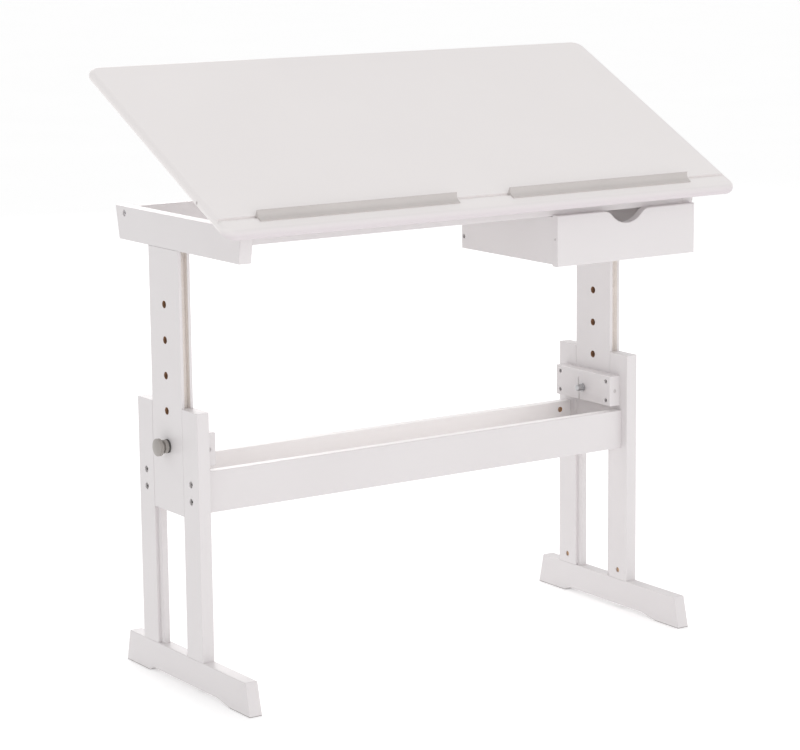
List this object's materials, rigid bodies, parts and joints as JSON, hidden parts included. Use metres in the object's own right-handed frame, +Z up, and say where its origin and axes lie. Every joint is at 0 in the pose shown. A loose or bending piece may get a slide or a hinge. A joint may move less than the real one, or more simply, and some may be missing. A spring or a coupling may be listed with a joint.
{
  "type": "drafting table",
  "caption": "Height-adjustable drafting table with a propped tilting board, two pencil ledges, a hanging drawer and a book trough between post-and-board legs.",
  "frame": {"origin": "on the floor under the middle of the outline, from the board's front edge to the rear ends of the feet", "axes": "+X to the user's right along the board's long edge, +Y away from the user, +Z up"},
  "size_m": [1.09, 0.501, 1.0893],
  "materials": {
    "white_lacquer": "satin white lacquer",
    "board_lacquer": "matte white lacquer",
    "ledge_plastic": "matte grey",
    "knob_plastic": "satin grey",
    "washer_black": "matte black",
    "zinc_steel": "bright zinc",
    "raw_beech": "bare",
    "white_plastic": "gloss",
    "plug_grey": "matte",
    "drawer_board": "white faced hardboard"
  },
  "bodies": {
    "base": {"foot_left": "white_lacquer", "foot_right": "white_lacquer", "front_post_left": "white_lacquer", "front_post_right": "white_lacquer", "rear_post_left": "white_lacquer", "rear_post_right": "white_lacquer", "cross_block_left": "white_lacquer", "cross_block_right": "white_lacquer", "trough_front": "white_lacquer", "trough_rear": "white_lacquer", "trough_floor": "white_lacquer", "base_bolts": "zinc_steel", "cross_dowels": "zinc_steel", "block_screws": "zinc_steel", "block_plugs": "plug_grey"},
    "frame": {"sliding_board_left": "white_lacquer", "sliding_board_right": "white_lacquer", "side_rail_left": "white_lacquer", "side_rail_right": "white_lacquer", "front_rail": "white_lacquer", "rear_rail": "white_lacquer", "frame_bolts": "zinc_steel", "bolt_caps": "white_plastic", "frame_dowels": "raw_beech", "prop_rails": "white_lacquer", "tilt_racks": "raw_beech", "hinge_bases": "zinc_steel", "drawer_hangers": "zinc_steel"},
    "tabletop": {"drawing_board": "board_lacquer", "edge_plugs": "plug_grey", "board_battens": "white_lacquer", "pencil_ledge_left": "ledge_plastic", "pencil_ledge_right": "ledge_plastic", "hinge_leaves": "zinc_steel", "hinge_pins": "zinc_steel", "prop_brackets": "zinc_steel", "prop_pins": "zinc_steel"},
    "prop": {"prop_arms": "raw_beech", "prop_stretcher": "raw_beech", "prop_foot_bar": "zinc_steel"},
    "drawer": {"drawer_front": "white_lacquer", "drawer_side_left": "white_lacquer", "drawer_side_right": "white_lacquer", "drawer_back": "white_lacquer", "drawer_floor": "drawer_board", "drawer_screws": "zinc_steel", "front_pins": "plug_grey", "hanger_strips": "raw_beech"},
    "knob_left": {"lock_knob_left": "knob_plastic", "knob_washer_left": "washer_black", "lock_bolt_left": "zinc_steel"},
    "nut_left": {"lock_hub_left": "zinc_steel", "lock_stud_left": "zinc_steel", "tommy_bar_left": "zinc_steel"},
    "knob_right": {"lock_knob_right": "knob_plastic", "knob_washer_right": "washer_black", "lock_bolt_right": "zinc_steel"},
    "nut_right": {"lock_hub_right": "zinc_steel", "lock_stud_right": "zinc_steel", "tommy_bar_right": "zinc_steel"}
  },
  "joints": [
    {"name": "frame_height", "type": "slide", "parent": "base", "child": "frame", "axis": [0, 0, 1], "range_m": [-0.2528, 0]},
    {"name": "top_tilt", "type": "hinge", "parent": "frame", "child": "tabletop", "pos_m": [0, -0.18557, 0.8485], "axis": [1, 0, 0], "range_deg": [-27, 8]},
    {"name": "prop_fold", "type": "hinge", "parent": "tabletop", "child": "prop", "pos_m": [0, -0.01628, 0.93476], "axis": [1, 0, 0], "range_deg": [-16, 54]},
    {"name": "drawer_slide", "type": "slide", "parent": "frame", "child": "drawer", "axis": [0, -1, 0], "range_m": [0, 0.2]},
    {"name": "knob_left_turn", "type": "hinge", "parent": "frame", "child": "knob_left", "pos_m": [-0.4888, 0.07643, 0.4305], "axis": [1, 0, 0], "continuous": true},
    {"name": "nut_left_turn", "type": "hinge", "parent": "base", "child": "nut_left", "pos_m": [-0.4375, 0.07643, 0.4305], "axis": [1, 0, 0], "continuous": true},
    {"name": "knob_right_turn", "type": "hinge", "parent": "frame", "child": "knob_right", "pos_m": [0.4888, 0.07643, 0.4305], "axis": [1, 0, 0], "continuous": true},
    {"name": "nut_right_turn", "type": "hinge", "parent": "base", "child": "nut_right", "pos_m": [0.4375, 0.07643, 0.4305], "axis": [1, 0, 0], "continuous": true}
  ],
  "couplings": [
    {"joint": "prop_fold", "follows": "top_tilt", "ratio": -2}
  ]
}
